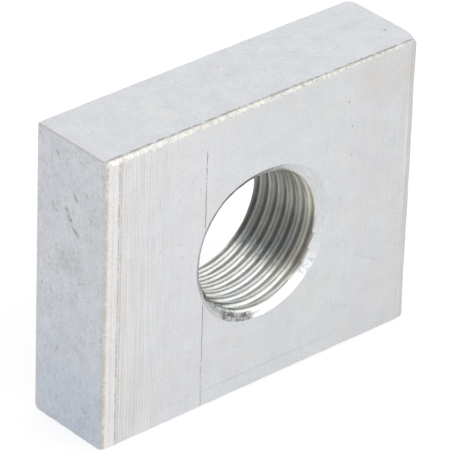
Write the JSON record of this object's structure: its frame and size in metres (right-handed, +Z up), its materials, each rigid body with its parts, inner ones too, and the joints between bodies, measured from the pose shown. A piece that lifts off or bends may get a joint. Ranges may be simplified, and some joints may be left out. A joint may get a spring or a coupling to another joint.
{
  "type": "t-slot nut",
  "caption": "Plain rectangular block nut for a T-slot, with one tapped hole through its thickness, countersunk on both faces.",
  "frame": {"origin": "on the axis of the tapped hole, midway between the two faces, which is the centre of the block", "axes": "+X across the width, +Z up the height with the block standing on a cut end, Y along the axis of the hole, with the front face towards -Y"},
  "size_m": [0.045, 0.0114, 0.036],
  "materials": {
    "zinc_plated_steel": "clear zinc plate over drawn steel, satin"
  },
  "bodies": {
    "root": {"slot_nut": "zinc_plated_steel"}
  },
  "joints": []
}
